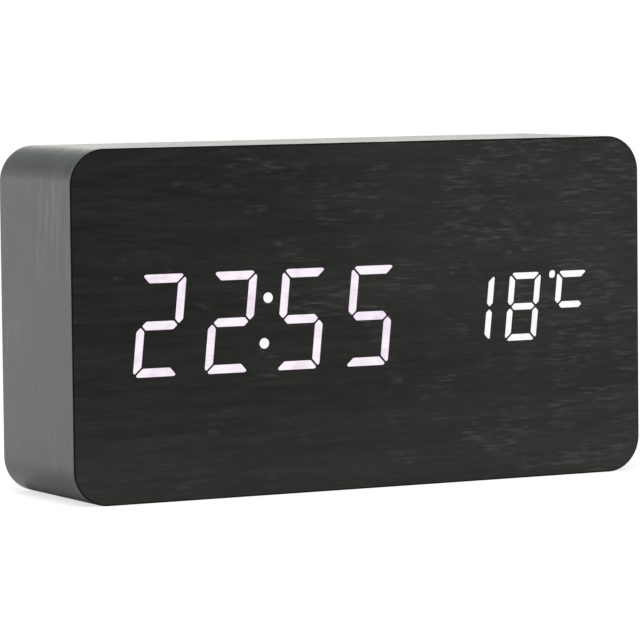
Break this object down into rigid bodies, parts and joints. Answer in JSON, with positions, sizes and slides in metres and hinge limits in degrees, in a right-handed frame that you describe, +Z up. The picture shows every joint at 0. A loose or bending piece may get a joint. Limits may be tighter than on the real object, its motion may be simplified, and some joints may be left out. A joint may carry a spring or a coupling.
{
  "type": "digital alarm clock",
  "caption": "Desk alarm clock: a veneered block with rounded corners, a lit segment display behind its front, and a rear cover with press buttons, power socket and hinged battery door.",
  "frame": {"origin": "middle of the base, on the surface that the clock stands on", "axes": "+Z up, +Y to the rear, +X to the right as seen from the front"},
  "size_m": [0.15, 0.04, 0.081],
  "materials": {
    "core_board": "sanded fibreboard",
    "black_veneer": "black stained wood grain with a satin sheen",
    "cover_plastic": "fine moulded texture",
    "screw_steel": "zinc plated",
    "frame_plastic": "black moulded",
    "lit_lens": "milky lens, lit white",
    "unlit_lens": "milky lens, dark",
    "led_package": "clear over a yellow phosphor",
    "board_laminate": "green solder mask",
    "chip_epoxy": "moulded epoxy",
    "can_steel": "bright steel",
    "holder_plastic": "black moulded",
    "header_plastic": "natural nylon",
    "ribbon_pvc": "grey flat cable",
    "switch_plastic": "black moulded",
    "button_plastic": "satin moulded",
    "socket_plastic": "black moulded",
    "pin_brass": "nickel plated brass",
    "buzzer_plastic": "black moulded",
    "capsule_can": "bright can",
    "sensor_epoxy": "brown dip",
    "cell_sleeve": "plain printed sleeve over a can",
    "contact_steel": "nickel plated spring steel",
    "red_sleeve": "red insulation",
    "black_sleeve": "black insulation"
  },
  "bodies": {
    "case": {"case_core": "core_board", "front_veneer": "black_veneer", "edge_band": "black_veneer", "rear_veneer": "black_veneer", "rear_cover": "cover_plastic", "cover_screws": "screw_steel", "display_board_screws": "screw_steel", "button_board_screws": "screw_steel", "segment_frame": "frame_plastic", "hour_segments": "lit_lens", "minute_segments": "lit_lens", "colon_dots": "lit_lens", "temperature_segments": "lit_lens", "degree_mark": "lit_lens", "unlit_segments": "unlit_lens", "led_chips": "led_package", "display_board": "board_laminate", "button_board": "board_laminate", "controller_chip": "chip_epoxy", "driver_chip": "chip_epoxy", "clock_crystal": "can_steel", "backup_cell": "can_steel", "cell_holder": "holder_plastic", "display_header": "header_plastic", "button_header": "header_plastic", "ribbon_cable": "ribbon_pvc", "switch_bodies": "switch_plastic", "power_socket": "socket_plastic", "socket_pin": "pin_brass", "buzzer": "buzzer_plastic", "microphone": "capsule_can", "temperature_sensor": "sensor_epoxy", "battery_1": "cell_sleeve", "battery_2": "cell_sleeve", "battery_3": "cell_sleeve", "battery_4": "cell_sleeve", "battery_contacts": "contact_steel", "battery_springs": "contact_steel", "positive_lead": "red_sleeve", "negative_lead": "black_sleeve"},
    "set_key": {"set_button": "button_plastic", "set_plunger": "switch_plastic"},
    "up_key": {"up_button": "button_plastic", "up_plunger": "switch_plastic"},
    "down_key": {"down_button": "button_plastic", "down_plunger": "switch_plastic"},
    "door": {"battery_door": "cover_plastic"}
  },
  "joints": [
    {"name": "set_press", "type": "slide", "parent": "case", "child": "set_key", "axis": [0, -1, 0], "range_m": [0, 0.0004], "stiffness_N_per_m": 1000, "springref_m": -0.0004},
    {"name": "up_press", "type": "slide", "parent": "case", "child": "up_key", "axis": [0, -1, 0], "range_m": [0, 0.0004], "stiffness_N_per_m": 1000, "springref_m": -0.0004},
    {"name": "down_press", "type": "slide", "parent": "case", "child": "down_key", "axis": [0, -1, 0], "range_m": [0, 0.0004], "stiffness_N_per_m": 1000, "springref_m": -0.0004},
    {"name": "door_swing", "type": "hinge", "parent": "case", "child": "door", "pos_m": [-0.0317, 0.01795, 0.0199], "axis": [-1, 0, 0], "range_deg": [0, 90]}
  ]
}
